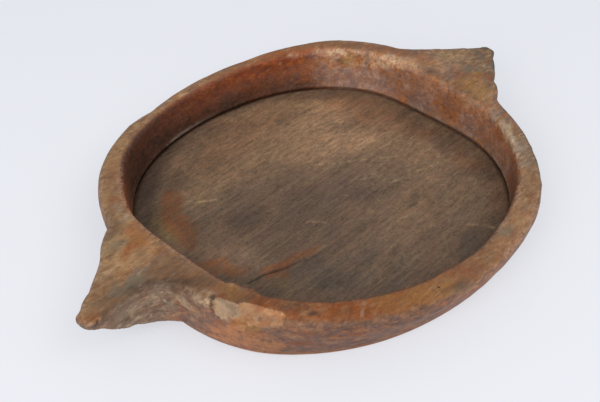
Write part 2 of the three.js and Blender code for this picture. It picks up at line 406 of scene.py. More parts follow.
ORANGE = (
    ((-145, 138, 53), (16, 8, 8), None, 0.45),
    ((-176, 92, 56), (12, 7, 7), None, 0.5),
    ((-188, 48, 58), (18, 10, 8), None, 0.6),
    ((-206, 30, 60), (13, 8, 7), 0, 0.55),
    ((-195, -12, 61), (26, 12, 8), 90, 0.3),
    ((-172, -80, 60), (13, 7, 6), None, 0.8),
    ((-199, -70, 34), (6, 5, 9), None, 0.5),
    ((-274, -8, 54), (9, 9, 10), 0, 0.5),
    ((-184, -98, 38), (8, 8, 5), None, 0.6),
    ((-200, -36, 58), (12, 8, 6), 0, 0.35),
    ((-163, -124, 27), (8, 8, 5), None, 0.6),
    ((-132, -157, 41), (8, 8, 5), None, 0.5),
    ((190, 46, 60), (15, 8, 6), 100, 0.5),
    ((200, -20, 60), (26, 12, 8), 60, 0.4),
    ((222, -30, 59), (18, 7, 8), 120, 0.5),
)
OCHRE = (
    ((-178, 104, 55), (9, 6, 6), None, 0.4),
    ((-192, 34, 60), (12, 7, 6), 0, 0.5),
    ((-60, -178, 52), (26, 10, 7), None, 0.55),
    ((-96, -163, 54), (16, 8, 7), None, 0.4),
    ((194, -36, 59), (20, 14, 10), 60, 0.75),
    ((222, -19, 59), (5, 5, 6), 0, 0.6),
    ((195, 26, 61), (10, 6, 6), 90, 0.6),
    ((158, 106, 50), (8, 7, 6), None, 0.7),
    ((-178, -66, 61), (8, 6, 5), None, 0.7),
    ((-185, -96, 48), (7, 7, 8), None, 0.7),
    ((-147, -143, 37), (14, 8, 5), None, 0.45),
)
DARK = (
    ((-231, -5, 59), (7, 4, 6), 12, 0.7),
    ((-214, -13, 60), (9, 4, 6), -20, 0.7),
    ((-206, 14, 60), (6, 4, 5), 30, 0.4),
    ((-212, 58, 57), (7, 4, 6), 60, 0.5),
    ((-150, -127, 58), (5, 4, 4), None, 0.7),
    ((-197, -60, 30), (10, 6, 4), None, 0.4),
    ((-156, -108, 58), (12, 5, 5), None, 0.5),
    ((-230, -15, 33), (13, 9, 5), 0, 0.6),
    ((168, 90, 50), (3, 5, 9), None, 0.55),
    ((154, 114, 47), (8, 6, 4), None, 0.5),
    ((-42, -186, 50), (18, 4, 5), None, 0.45),
    ((185, 17, 60), (4, 5, 5), 90, 0.5),
    ((-199, -71, 47), (6, 6, 6), None, 0.25),
)
PALE = (
    ((-226, -15, 44), (12, 8, 6), 0, 0.6),
    ((-240, -14, 42), (3, 8, 7), 0, 0.8),
    ((-204, -36, 46), (9, 8, 7), None, 0.6),
    ((-198, -54, 58), (7, 7, 7), None, 0.6),
    ((151, 120, 57), (10, 6, 3), None, 0.95),
    ((134, 136, 56), (5, 5, 3), None, 0.75),
    ((114, 155, 56), (4, 5, 3), None, 0.6),
    ((118, 148, 55), (3, 5, 4), None, 0.5),
    ((100, 156, 45), (3, 5, 3), None, 0.5),
    ((173, 80, 50), (10, 7, 5), None, 0.6),
    ((183, 56, 59), (14, 7, 7), None, 0.45),
    ((180, 68, 57), (9, 6, 6), None, 0.4),
    ((186, 34, 60), (10, 6, 6), None, 0.35),
    ((160, -104, 54), (18, 3.5, 5), None, 0.5),
    ((143, -122, 53), (14, 3.5, 5), None, 0.5),
    ((-182, 66, 58), (6, 4, 6), None, 0.4),
)
# Brighter and darker places: partly painted light on walls in shade, such as the left inner wall, partly
# tone
LIGHTER = (
    ((184, 56, 59), (34, 16, 20), None, 0.9),
    ((196, 30, 60), (24, 18, 20), 0, 0.3),
    ((185, -22, 59), (52, 10, 14), None, -0.7),
    ((186, 14, 60), (22, 9, 14), None, -0.4),
    ((-176, -80, 58), (30, 22, 20), None, -0.8),
    ((-200, -42, 56), (24, 20, 22), None, -0.7),
    ((-150, 96, 34), (60, 30, 34), None, 1.0),
    ((-216, 50, 57), (24, 20, 20), 0, -0.5),
    ((52, -184, 50), (56, 26, 26), None, 0.5),
    ((-178, -100, 38), (26, 16, 14), None, -0.4),
    ((-135, -155, 30), (30, 16, 20), None, 0.4),
    ((-20, 200, 49), (80, 22, 20), None, 0.6),
    ((128, 142, 52), (26, 12, 12), None, -0.4),
)
AMBER = (
    ((-184, -88, 30), (18, 12, 12), None, 1.0),
    ((-192, -72, 18), (16, 12, 8), None, 0.9),
    ((-176, -101, 20), (18, 10, 6), None, 0.9),
    ((-185, -90, 46), (10, 8, 6), None, 0.9),
    ((-168, -114, 50), (10, 6, 4), None, 0.6),
    ((-166, -119, 40), (7, 6, 4), None, 0.5),
    ((-140, -150, 30), (6, 6, 5), None, 0.5),
    ((-108, -170, 36), (10, 8, 4), None, 0.4),
    ((-176, -70, 61), (10, 5, 6), None, 0.8),
    ((182, 52, 60), (18, 7, 6), None, 0.3),
    ((205, 30, 60), (9, 7, 7), 0, 0.5),
    ((-196, 52, 58), (7, 6, 6), None, 0.5),
    ((-188, 30, 59), (14, 7, 7), 80, 0.3),
)
TAN = (
    ((-205, 44, 58), (20, 12, 10), 30, 0.7),
    ((-222, 26, 58), (14, 9, 8), 30, 0.35),
    ((-190, 62, 58), (16, 10, 10), None, 0.8),
    ((-200, 20, 60), (16, 10, 10), 0, 0.6),
    ((-178, 92, 56), (20, 8, 8), None, 0.6),
    ((-128, 158, 52), (26, 8, 8), None, 0.8),
    ((-146, 138, 53), (12, 8, 8), None, 0.5),
    ((160, -100, 54), (22, 6, 8), None, 0.6),
    ((236, 20, 60), (22, 14, 8), 20, 0.4),
)
BROWN = (
    ((-198, 70, 57), (12, 9, 8), None, 0.9),
    ((-184, 84, 57), (12, 6, 6), None, 0.4),
    ((-222, -12, 58), (36, 12, 10), 8, 0.9),
    ((-212, -22, 58), (16, 12, 10), 8, 0.6),
    ((-250, 4, 57), (20, 16, 10), 0, 0.5),
    # At the near handle's front root: painted shade in the hollow there
    ((-198, -38, 59), (18, 16, 10), None, 1.0),
    ((262, 4, 57), (16, 12, 8), 0, 0.4),
    ((206, -44, 58), (16, 10, 8), -50, 0.4),
    ((-176, -76, 61), (10, 5, 6), None, 0.9),
    ((-158, -108, 58), (14, 6, 6), None, 0.5),
    ((-130, -146, 56), (10, 8, 6), None, 0.3),
)
SCUFFED = (
    ((170, -84, 55), (14, 5, 6), None, 0.5),
    ((160, -102, 54), (14, 4, 6), None, 0.6),
    ((148, -118, 53), (14, 4, 6), None, 0.6),
    ((134, -134, 52), (12, 5, 6), None, 0.5),
    ((150, -128, 51), (16, 5, 6), None, 0.5),
    ((-180, 78, 57), (14, 4, 6), None, 0.5),
)
GREY = (
    ((-224, 0, 60), (9, 6, 7), 12, 1.0),
    ((-239, 2, 58), (7, 6, 7), 12, 0.8),
    ((-212, 42, 58), (7, 6, 6), 0, 0.5),
    ((140, -140, 51), (18, 10, 8), None, 0.5),
    ((152, -112, 53), (12, 7, 6), None, 0.4),
    ((39, -178, 48), (9, 7, 6), None, 0.65),
    ((-36, -193, 48), (14, 6, 6), None, 0.5),
    ((219, -12, 60), (8, 5, 6), 0, 0.65),
    ((210, 14, 61), (8, 5, 6), 0, 0.6),
    ((-222, -15, 36), (24, 10, 12), 0, 0.35),
    ((-206, -36, 40), (14, 12, 12), None, 0.35),
    ((-199, -62, 30), (7, 6, 4), None, 0.5),
)


# The wall, carved from a copy of its solid

wall = evenly_meshed("bowl_wall", "carved_wall", WALL_GRID)
fine_places = list(INSECT_HOLES) + places_along(CREVICE, 4) + places_along(TIP_SPLIT, 4)
split_near(wall, fine_places, 6, 1)

points = relaxed(points_of(wall.data), edges_of(wall.data), 4)
edges = edges_of(wall.data)
turn, radius = turn_of(points)
rim = rim_height(turn)
inner_corner = np.exp(-(((radius - INNER_CORNER) / (9 * MM)) ** 2))
inner_corner *= smooth(points[:, 2], rim - 14 * MM, rim)
far_corner = np.exp(-(((points[:, 0] - FAR_HANDLE) / (9 * MM)) ** 2))
far_corner *= smooth(points[:, 2], 40 * MM, 58 * MM)
far_corner *= smooth(95 * MM - np.abs(points[:, 1]), 0, 30 * MM)
points = relaxed(points, edges, 45, np.clip(around(turn, ROUNDED) * inner_corner + far_corner, 0, 1))
points = relaxed(points, edges, 2, smooth(radius, 205 * MM, 216 * MM))
points = nudged(points, NUDGES)
outer_top = smooth(points[:, 2], 12 * MM, 45 * MM) * smooth(radius, 186 * MM, 200 * MM)
points[:, 2] += RAISE * outer_top * around(turn, RAISED)
outer_side = smooth(radius, 184 * MM, 200 * MM)
pushed = outer_side * around(turn, PUSHED)
pushed -= outer_side * smooth(42 * MM - points[:, 2], 0, 20 * MM) * around(turn, FOOT_PULLED)
inner_top = smooth(198 * MM - radius, 0, 10 * MM) * smooth(points[:, 2], 20 * MM, 50 * MM)
pushed += inner_top * around(turn, INNER_EDGE_BACK)
points[:, :2] += MM * (pushed / radius)[:, None] * (points[:, :2] - CENTRE[:2])

set_points(wall.data, points)
facing = relaxed(normals_of(wall.data), edges, 12)
facing /= np.linalg.norm(facing, axis=1)[:, None]
turn, radius = turn_of(points)
from_axis = points - CENTRE
outward = (facing[:, 0] * from_axis[:, 0] + facing[:, 1] * from_axis[:, 1]) / radius
inside = smooth(-outward, 0.25, 0.7) * smooth(RING_END - radius, 0, 10 * MM)
outside = smooth(outward, 0.25, 0.75)
upward = smooth(facing[:, 2], 0.45, 0.85) * smooth(points[:, 2], 30 * MM, 40 * MM)
above = smooth(points[:, 2], 13 * MM, 18 * MM)
bulge = np.einsum("ij,ij->i", points - relaxed(points, edges, 14), facing) / MM
edge_worn = smooth(relaxed(bulge[:, None], edges, 6)[:, 0], 0.1, 0.5)

# Waves, tool marks and nicked edges
back_edge = around(turn, BACK_EDGE) * smooth(radius, 194 * MM, 202 * MM)
calm = 1 - 0.85 * most(smooth(radius, 206 * MM, 216 * MM), back_edge)
lift = 0.75 * rough(points, (70, 70, 40), 11, 2) + 0.3 * calm * rough(points, (20, 20, 16), 12, 2)
lift += 0.12 * calm * rough(points, (9, 5, 5), 18, 2)
gouged = around(turn, GOUGED) * inside * above
lift -= gouged * 0.7 * np.abs(rough(points, (11, 11, 18), 13, 1))
lift += outside * calm * 0.35 * rough(points, (50, 5, 4.5), 14, 2)
lift += upward * 0.22 * rough(points, (30, 5, 5), 15, 2)
nicks = 1.3 * smooth(rough(points, (13, 13, 9), 16, 2), 0.35, 1.1)
nicks += 0.4 * smooth(rough(points, (4, 4, 4), 17, 1), 0.1, 0.9)
frayed = around(turn, FRAYED)
lift -= edge_worn * frayed * nicks * (1 - 0.95 * smooth(radius, 198 * MM, 208 * MM))
crease = seam(points, CREASE, 7, 2.0, 27)
lift -= 0.9 * crease
gouges = scoop(strayed(points, 28, 2), GOUGES)
lift -= gouges
points = points + facing * (lift * above * MM)[:, None]

# The broken-away edge near the handle, the bare face of the split, and holes and cracks
weathered = pare(points, (-188, -73.3, 58.5), (-0.906, -0.334, 0.259), (17, 14, 24))
fresh = pare(points, (-177, -98, 54.6), (-0.68, -0.33, 0.655), (23, 15, 14))
fresh += pare(points, (-186, -84, 44), (-0.80, -0.58, -0.1), (9, 12, 12))
broken = weathered + fresh
chip = pare(points, (-143, -147, 55), (-0.55, -0.6, 0.58), (14, 7, 5))
split = spot(points, (-232, -20, 40), (58, 22, 30), 0) * smooth(-facing[:, 1], 0.3, 0.7)
splinters = 1.1 * rough(points, (26, 7, 6), 21, 3) + 0.5 * rough(points, (40, 2.6, 2.2), 22, 1)
flaked = 0.45 * smooth(broken, 0.2, 1.0) * rough(points, (16, 6, 5), 29, 2)
points += facing * ((split * splinters + flaked) * MM)[:, None]
crevice = seam(points, CREVICE, 5.0, 0.6, 23)
hole = crevice**2 * 1.7
for place in INSECT_HOLES:
    away = np.linalg.norm(points - np.asarray(place) * MM, axis=1)
    hole = np.maximum(hole, 2.5 * (1 - smooth(away, 0.5 * MM, 1.4 * MM)))
crack = 0.7 * seam(points, TIP_SPLIT, 1.4, 0.5, 24)
hole = np.maximum(hole, 1.8 * crack)
thin = seams(points, HANDLE_CRACKS, 1.8, 1.0, 25)
hole = np.maximum(hole, 0.6 * thin)
crack = np.maximum(crack, 0.5 * thin)
scratch = seams(points, RIM_SCRATCHES, 2.2, 0.8, 26)
line = seam(points, HANDLE_LINE, 2.0, 1.0, 30)
points -= facing * ((hole + 0.3 * scratch + 0.3 * line) * MM)[:, None]
set_points(wall.data, points)

# How strongly each kind of mark shows
marked = strayed(points, 41, 5)
deep = smooth(rim - 5 * MM - points[:, 2], 0, 30 * MM)
ring = smooth(RING_END - radius, 0, 9 * MM)
base_line = outside * smooth(9 * MM - points[:, 2], 0, 5 * MM)
top_orange = 0.85 * upward * around(turn, RIM_ORANGE) * ring
reddened = upward * smooth(204 * MM - radius, 0, 6 * MM) * around(turn, RIM_RED)
inner_dark = inside * (around(turn, INNER_DARK) + around(turn, LOW_DARK) * deep)
foot_dark = around(turn, FOOT_DARK) * inside * smooth(25 * MM - points[:, 2], 0, 6 * MM)
ledge_grey = around(turn, LEDGE_GREY) * inside * smooth(24 * MM - points[:, 2], 0, 5 * MM)
lip = smooth(points[:, 2], 11.5 * MM, 13 * MM) * smooth(17.5 * MM - points[:, 2], 0, 2.5 * MM)
lip *= smooth(178 * MM - radius, 0, 3 * MM)
lip *= around(turn, LIP_PALE)

# The far handle, whose top the inner wall runs over into, with painted shade on its border and on the
# handles' side faces
rolled = smooth(points[:, 0], 160 * MM, 176 * MM)
rolled *= smooth(100 * MM - np.abs(points[:, 1] + 10 * MM), 0, 25 * MM)
run_over = 0.7 * upward * smooth(238 * MM - points[:, 0], 0, 45 * MM)
run_over *= smooth(points[:, 0], 170 * MM, 180 * MM)
far_border_shade = 1.2 * seam(points, FAR_BORDER, 5.0, 1.0, 35)
handle_side_shade = smooth(radius, 212 * MM, 222 * MM) * smooth(0.75 - facing[:, 2], 0, 0.35) * (1 - split)

# Brighter and darker places: painted light and shade, and tone
upper = smooth(points[:, 2], rim - 12 * MM, rim - 5 * MM)
# Painted light on the inner wall at the right, which the lamps light less
painted_light_and_tone = inside * around(turn, INNER_PAINTED_LIGHT)
painted_light_and_tone -= outside * around(turn, OUTER_DARKER)
painted_light_and_tone += 0.6 * outside * smooth(14 * MM - points[:, 2], 0, 8 * MM) * around(turn, BASE_LIGHTER)
painted_light_and_tone += 0.35 * upward * spot(points, (-196, 22, 58), (60, 60, 40), 90)
# Painted light on the left inner wall, against the shade that falls on it
painted_light_and_tone += 1.4 * inside * around(turn, LEFT_PAINTED_LIGHT)
painted_light_and_tone = added(painted_light_and_tone, points, LIGHTER)
painted_light_and_tone -= 0.5 * split
painted_light_and_tone += 0.7 * reddened
# Painted shade along the top of the outer wall
painted_light_and_tone -= 1.3 * outside * upper * around(turn, UPPER_PAINTED_SHADE)

for name, values in {
    "inside": most(inside * (1 - 0.3 * rolled * (1 - deep)), run_over),
    "outside": outside,
    "upward": upward,
    "red": most(inside * (1 - 0.25 * deep), reddened) * around(turn, INNER_RED),
    "mauve": most(inside * around(turn, INNER_MAUVE) * deep, outside * 0.25),
    "orange": most(top_orange, 0.6 * base_line, soft_marks(marked, ORANGE)),
    "ochre": soft_marks(marked, OCHRE),
    "dark": soft_marks(marked, DARK),
    "shade": np.clip(most(inner_dark, foot_dark), 0, 1),
    "crease": crease,
    "pale": soft_marks(strayed(points, 44, 2.5), PALE),
    "tan": soft_marks(marked, TAN),
    "brown": soft_marks(marked, BROWN),
    "scuffed": soft_marks(strayed(points, 44, 2.5), SCUFFED),
    "amber": most(soft_marks(marked, AMBER), 0.6 * base_line * around(turn, BASE_AMBER)),
    "painted_light_and_tone": painted_light_and_tone,
    "broken": most(smooth(broken, 0.2, 0.9), 0.3 * smooth(chip, 0.2, 0.9)),
    "fresh": smooth(fresh, 0.2, 0.9),
    "mottled": smooth(points[:, 0], 175 * MM, 210 * MM),
    "painted_shade_edge": most(handle_side_shade, far_border_shade),
    "grey": most(soft_marks(marked, GREY), split * 0.35, ledge_grey),
    "worn": edge_worn * frayed * (1 - crease) * (1 - 0.8 * rolled) * (1 - split),
    "split": split,
    "lip": lip,
    "hole": np.clip(most(hole / 2, crack), 0, 1),
    "scratch": scratch,
    "line": line,
}.items():
    paint(wall, name, values)


# The floor board, from a copy of its solid

FLOOR = 12.0  # height of its top, in mm, for marks that are given by X and Y
CRACK = ((-135, -35), (-128, -34), (-121, -36), (-108, -41), (-95, -45), (-81, -49), (-66, -53))
DENTS = (
    ((-11, -102), (15, 4, 9), 8, 0.9),
    ((-75, -93), (9, 5, 9), 0, 0.7),
    ((-57, -113), (10, 4, 9), 5, 0.5),
    ((-45, -90), (8, 3, 9), 5, 0.3),
)
LONG_SCRATCHES = (
    ((62, -128), (66, -134), (73, -142), (76, -151)),
    ((-42, -16), (-36, -22), (-28, -31)),
    ((25, 40), (62, 12), (101, -17)),
    ((58, -36), (84, -44), (118, -52)),
    ((-96, 80), (-86, 74), (-78, 70)),
)
ORANGE_PATCH = (
    ((-113, 100), (14, 9, 9), 60, 0.8),
    ((-122, 82), (15, 12, 9), 65, 0.9),
    ((-129, 64), (15, 12, 9), 68, 0.9),
    ((-136, 46), (12, 8, 9), 75, 0.8),
    ((-140, 2), (14, 8, 9), -60, 0.9),
    ((-132, -18), (10, 6, 9), -50, 0.6),
    ((-106, -40), (14, 5, 9), -16, 1.0),
    ((-84, -44), (16, 4.5, 9), -18, 0.9),
    ((-66, -48), (10, 3, 9), -18, 0.5),
    ((-104, -50), (5, 3, 9), 0, 0.6),
)
OCHRE_PATCH = (
    ((-136, 84), (16, 9, 9), 62, 0.9),
    ((-143, 62), (14, 7, 9), 70, 0.9),
    ((-116, -54), (10, 5, 9), -16, 0.6),
    ((-90, 77), (9, 5, 9), 20, 0.5),
)
GREY_PATCH = (
    ((-60, -88), (54, 28, 9), -40, 0.7),
    ((41, -145), (20, 10, 9), 25, 0.6),
    ((-45, 45), (40, 22, 9), 0, 0.25),
)
DARK_PATCH = (
    ((-2, -26), (52, 22, 9), 8, 0.8),
    ((-30, 14), (34, 18, 9), 0, 0.5),
    ((-76, 30), (16, 10, 9), 0, 0.6),
    ((-135, 110), (45, 14, 9), 50, 0.5),
)
# Light patches: tone, and at the board's back partly a painted sheen
LIGHT_PATCH_AND_SHEEN = (
    ((70, 68), (52, 30, 9), 10, 0.7),
    ((58, 142), (44, 14, 9), -14, 1.0),
    ((105, 108), (30, 12, 9), -45, 1.0),
    ((38, 100), (34, 24, 9), 0, 0.8),
    ((94, 26), (24, 16, 9), 0, 0.7),
    ((122, -20), (34, 26, 9), 80, 0.4),
    ((52, -80), (50, 20, 9), 20, 0.4),
    ((-20, 105), (56, 34, 9), -20, 0.7),
    ((-78, 92), (34, 22, 9), 20, 0.4),
)
# Brighter and darker places on the board: painted light near the far wall, a painted sheen at the back, and
# tone
LIGHTER_FLOOR = (
    ((90, 55), (110, 70, 40), 40, 1.2),
    ((138, 25), (30, 30, 40), 0, 0.5),
    ((126, -28), (30, 26, 40), 0, 0.6),
    ((146, -96), (26, 26, 40), 0, -0.7),
    ((100, 80), (50, 30, 40), 0, 0.4),
    ((-122, -4), (48, 26, 40), -60, 2.1),
    ((-142, 58), (34, 14, 40), 72, 1.6),
    ((118, 72), (34, 30, 40), 0, 0.4),
    ((150, -50), (26, 26, 40), 0, -0.6),
    ((-92, 122), (24, 24, 40), 0, -0.7),
    ((118, 20), (40, 40, 40), 0, 0.4),
    ((-32, -100), (60, 45, 40), 0, 0.55),
    ((112, -60), (45, 60, 40), 0, 0.4),
    ((-90, 72), (36, 28, 40), 0, 0.9),
    ((-55, 110), (60, 35, 40), 0, -0.7),
    ((-74, 26), (34, 26, 40), 0, -1.0),
    ((160, -30), (30, 30, 40), 0, -0.4),
    ((150, 10), (20, 30, 40), 0, -0.4),
)
RED_PATCH = (
    ((140, 50), (60, 20, 9), 110, 0.6),
    ((150, -50), (40, 12, 9), 80, 0.6),
    ((100, -136), (30, 12, 9), 45, 0.4),
    ((10, 130), (60, 24, 9), 0, 0.5),
)

# How dark the board's edge beside the wall is, by direction in degrees: dirt, and painted shade where the
# wall meets it
EDGE_DIRT_AND_SHADE = {-168: 0.05, -150: 0.05, -130: 0.2, -90: 0.4, -60: 0.25, -40: 0.3, -10: 0.1, 60: 0, 84: 0}
EDGE_DIRT_AND_SHADE |= {100: 0.6, 130: 0.9, 148: 0.5, 165: 0.25, 178: 0.1}


def on_floor(marks):
    return tuple(((x, y, FLOOR), size, along, strength) for (x, y), size, along, strength in marks)


def floor_path(path):
    return tuple((x, y, FLOOR) for x, y in path)


board = evenly_meshed("floor_board", "carved_board", BOARD_GRID)
split_near(board, places_along(floor_path(CRACK), 4), 5, 1)
points = points_of(board.data)
edges = edges_of(board.data)
points = relaxed(points, edges, 3)
turn, radius = turn_of(points)
top = smooth(points[:, 2], 8.5 * MM, 11.0 * MM)
edge = smooth(radius, 158 * MM, 176 * MM)
lift = 0.40 * rough(points, (90, 45, 50), 31, 2) + 0.14 * rough(points, (40, 5, 20), 32, 2)
split_line = seam(points, floor_path(CRACK), 2.6, 1.6, 33)
split_line *= 0.35 + 0.65 * smooth(-points[:, 0], 70 * MM, 125 * MM)
lift -= 1.6 * split_line
dent = np.zeros(len(points))
scuffed = strayed(points, 36, 2)
for at, size, along, strength in on_floor(DENTS):
    dent = np.maximum(dent, strength * spot(scuffed, at, size, along))
lift -= 0.7 * dent
long_scratch = seams(points, [floor_path(path) for path in LONG_SCRATCHES], 1.8, 0.8, 34)
points[:, 2] += lift * top * (1 - edge) * MM
set_points(board.data, points)
marked = strayed(points, 51, 5)
drifted = strayed(points, 54, 12)
painted_light_and_tone = added(np.zeros(len(points)), points, on_floor(LIGHTER_FLOOR))
for name, values in {
    "orange": soft_marks(marked, on_floor(ORANGE_PATCH)),
    "ochre": soft_marks(marked, on_floor(OCHRE_PATCH)),
    "grey": soft_marks(drifted, on_floor(GREY_PATCH)),
    "dark": soft_marks(drifted, on_floor(DARK_PATCH)),
    "light": soft_marks(drifted, on_floor(LIGHT_PATCH_AND_SHEEN)),
    "red": soft_marks(drifted, on_floor(RED_PATCH)),
    "edge_dirt_and_shade": around(turn, EDGE_DIRT_AND_SHADE) * smooth(radius, 146 * MM, 172 * MM),
    "crack": split_line,
    "dent": dent,
    "scratch": long_scratch,
    "scored": spot(points, (90, -40, FLOOR), (130, 110, 40), 20),
    "painted_light_and_tone": painted_light_and_tone,
}.items():
    paint(board, name, values)


# Materials


class Value:
    """A socket that sums and products can be written with."""

    def __init__(self, sheet, socket):
        self.sheet = sheet
        self.socket = socket

    def _math(self, kind, *values):
        return self.sheet.node("ShaderNodeMath", {"operation": kind}, dict(enumerate(values)))

    def __add__(self, other):
        return self._math("ADD", self, other)

    def __radd__(self, other):
        return self._math("ADD", other, self)

    def __sub__(self, other):
        return self._math("SUBTRACT", self, other)

    def __rsub__(self, other):
        return self._math("SUBTRACT", other, self)

    def __mul__(self, other):
        return self._math("MULTIPLY", self, other)

    def __rmul__(self, other):
        return self._math("MULTIPLY", other, self)

    def most(self, other):
        return self._math("MAXIMUM", self, other)

    def between(self, low, high):
        """0 below low and 1 above high, with a soft step."""
        ends = {"Value": self, "From Min": low, "From Max": high}
        return self.sheet.node("ShaderNodeMapRange", {"interpolation_type": "SMOOTHSTEP"}, ends)

    def near(self, middle, width):
        """1 where the value is this one, and 0 where it is further from it than the width."""
        return 1.0 - self._math("ABSOLUTE", self - middle).between(0.0, width)


class Sheet:
    """A material that is being written."""

    def __init__(self, name):
        self.material = bpy.data.materials.new(name)
        self.material.use_nodes = True
        self.tree = self.material.node_tree
        self.tree.nodes.clear()
        self.place = self.node("ShaderNodeTexCoord", output="Object")

    def node(self, kind, settings=None, inputs=None, output=0):
        """Adds a node: first its settings, then the values or links of its sockets."""
        made = self.tree.nodes.new(kind)
        for name, value in (settings or {}).items():
            setattr(made, name, value)
        for name, value in (inputs or {}).items():
            if isinstance(value, Value):
                self.tree.links.new(value.socket, made.inputs[name])
            else:
                made.inputs[name].default_value = value
        return Value(self, made.outputs[output]) if made.outputs else None

    def mark(self, name):
        return self.node("ShaderNodeAttribute", {"attribute_name": name}, output="Fac")

    def noise(self, sizes, detail=3.0, roughness=0.55, distortion=0.0, turn=0.0, shift=0.0):
        """Noise in lumps of these sizes in mm, long along a direction in degrees."""
        place = self.place
        if turn:
            turned = {"Vector": place, "Angle": math.radians(-turn)}
            place = self.node("ShaderNodeVectorRotate", {"rotation_type": "Z_AXIS"}, turned)
        scale = [1 / (size * MM) for size in sizes]
        parts = {0: place, 1: scale, 2: (shift, shift, shift)}
        place = self.node("ShaderNodeVectorMath", {"operation": "MULTIPLY_ADD"}, parts)
        parts = {"Vector": place, "Scale": 1.0, "Detail": detail}
        parts |= {"Roughness": roughness, "Distortion": distortion}
        return self.node("ShaderNodeTexNoise", {}, parts)

    def mixed(self, first, second, share):
        """The first colour, and the second where the share is 1."""
        parts = {0: share, 6: first, 7: second}
        return self.node("ShaderNodeMix", {"data_type": "RGBA"}, parts, 2)

    def shaded(self, colour, amount):
        return self.node("ShaderNodeVectorMath", {"operation": "SCALE"}, {0: colour, "Scale": amount})

    def wood(self, colour, roughness, height, specular):
        """The finished surface, with its relief given in mm."""
        bump = self.node("ShaderNodeBump", {}, {"Height": height * MM, "Distance": 1.0, "Strength": 1.0})
        parts = {"Base Color": colour, "Roughness": roughness, "Normal": bump}
        parts["Specular IOR Level"] = specular
        shader = self.node("ShaderNodeBsdfPrincipled", {}, parts)
        self.node("ShaderNodeOutputMaterial", {}, {"Surface": shader})
        return self.material


def tone(code):
    """A colour written as a screen shows it, such as 8a6b50, as the share of light that it sends back."""
    parts = [int(code[k : k + 2], 16) / 255 for k in (0, 2, 4)]
    return tuple(p / 12.92 if p <= 0.04045 else ((p + 0.055) / 1.055) ** 2.4 for p in parts) + (1.0,)


